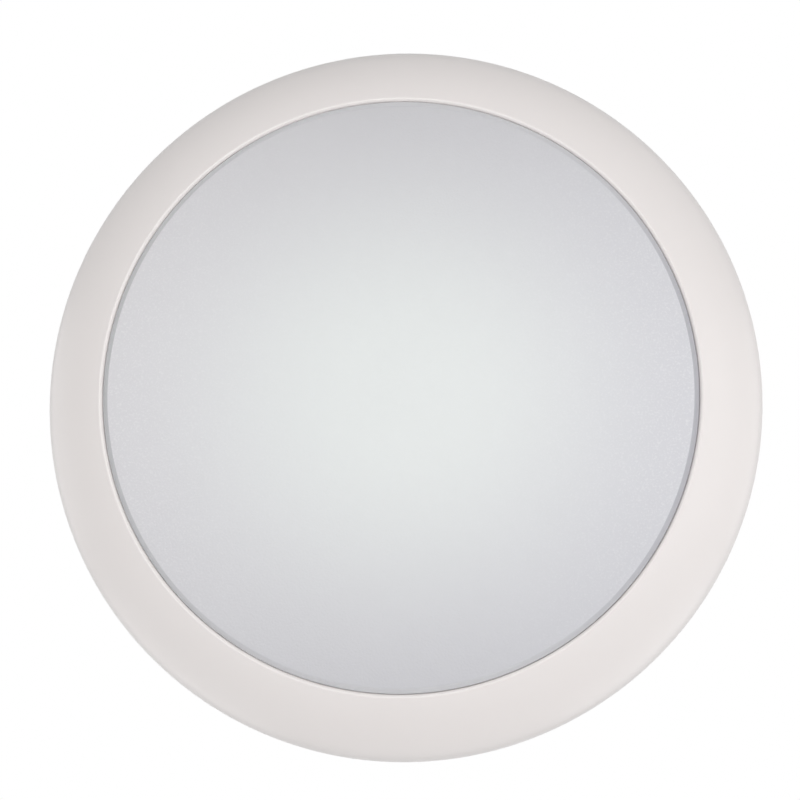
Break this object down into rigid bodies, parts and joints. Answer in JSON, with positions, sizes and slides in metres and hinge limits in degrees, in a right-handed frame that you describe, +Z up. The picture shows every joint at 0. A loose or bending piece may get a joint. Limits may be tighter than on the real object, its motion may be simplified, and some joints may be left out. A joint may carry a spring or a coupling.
{
  "type": "motion sensor ceiling light",
  "caption": "Round surface ceiling light: white twist-lock trim ring over a frosted domed diffuser, LED board and hidden radar motion sensor on a gear tray in a moulded base.",
  "frame": {"origin": "centre of the mounting face, on the ceiling plane, between the fixing holes", "axes": "+Z up into the ceiling, so the light hangs towards -Z with its diffuser down; +Y towards the driver's side, -Y towards the terminal block"},
  "size_m": [0.33, 0.33, 0.0556],
  "materials": {
    "ring_plastic": "fine moulded texture, satin",
    "diffuser_plastic": "frosted, translucent",
    "base_plastic": "moulded, satin",
    "seal_rubber": "soft, dull",
    "seal_silicone": "soft, dull, pale",
    "tray_paint": "powder coated, white",
    "screw_steel": "zinc plated",
    "contact_brass": "bright",
    "board_white": "white solder mask",
    "chip_phosphor": "phosphor gel",
    "socket_plastic": "moulded",
    "driver_plastic": "moulded",
    "board_green": "solder mask",
    "component_tape": "insulating tape",
    "component_sleeve": "shrunk sleeve",
    "terminal_plastic": "moulded",
    "sensor_plastic": "moulded",
    "can_metal": "tinned",
    "trimmer_plastic": "moulded",
    "dial_plastic": "moulded",
    "eye_resin": "dark clear resin",
    "lead_brown": "insulation",
    "lead_blue": "insulation",
    "lead_green": "insulation",
    "lead_grey": "insulation",
    "lead_red": "insulation",
    "lead_black": "insulation"
  },
  "bodies": {
    "base": {"base_housing": "base_plastic", "cable_grommet": "seal_rubber", "fixing_washers": "seal_rubber", "perimeter_gasket": "seal_silicone", "gear_tray": "tray_paint", "tray_grommets": "seal_rubber", "tray_screws": "screw_steel", "led_board": "board_white", "led_chips": "chip_phosphor", "led_board_screws": "screw_steel", "led_connector": "socket_plastic", "driver_case": "driver_plastic", "driver_lid": "driver_plastic", "driver_board": "board_green", "driver_transformer": "component_tape", "driver_capacitors": "component_sleeve", "driver_screws": "screw_steel", "terminal_block": "terminal_plastic", "terminal_clamps": "contact_brass", "terminal_screws": "screw_steel", "earth_tag": "contact_brass", "earth_screw": "screw_steel", "earth_nut": "screw_steel", "sensor_case": "sensor_plastic", "sensor_cover": "sensor_plastic", "sensor_board": "board_green", "radar_can": "can_metal", "trimmer_bodies": "trimmer_plastic", "daylight_eye": "eye_resin", "sensor_screws": "screw_steel", "live_lead": "lead_brown", "sensor_neutral_lead": "lead_blue", "switched_lead": "lead_grey", "neutral_lead": "lead_blue", "earth_lead": "lead_green", "led_positive_lead": "lead_red", "led_negative_lead": "lead_black"},
    "diffuser": {"diffuser": "diffuser_plastic"},
    "ring": {"trim_ring": "ring_plastic"},
    "sensitivity_dial": {"sensitivity_dial": "dial_plastic"},
    "hold_time_dial": {"hold_time_dial": "dial_plastic"},
    "daylight_dial": {"daylight_dial": "dial_plastic"}
  },
  "joints": [
    {"name": "cover_drop", "type": "slide", "parent": "base", "child": "diffuser", "axis": [0, 0, -1], "range_m": [0, 0.002]},
    {"name": "ring_twist", "type": "hinge", "parent": "diffuser", "child": "ring", "pos_m": [0, 0, 0], "axis": [0, 0, -1], "range_deg": [0, 22]},
    {"name": "sensitivity_turn", "type": "hinge", "parent": "base", "child": "sensitivity_dial", "pos_m": [0.034, 0, -0.045], "axis": [0, 0, -1], "range_deg": [-135, 135]},
    {"name": "hold_time_turn", "type": "hinge", "parent": "base", "child": "hold_time_dial", "pos_m": [0.02, 0, -0.045], "axis": [0, 0, -1], "range_deg": [-135, 135]},
    {"name": "daylight_turn", "type": "hinge", "parent": "base", "child": "daylight_dial", "pos_m": [0.006, 0, -0.045], "axis": [0, 0, -1], "range_deg": [-135, 135]}
  ],
  "couplings": [
    {"joint": "cover_drop", "follows": "ring_twist", "m_per_rad": 0.0052087}
  ]
}
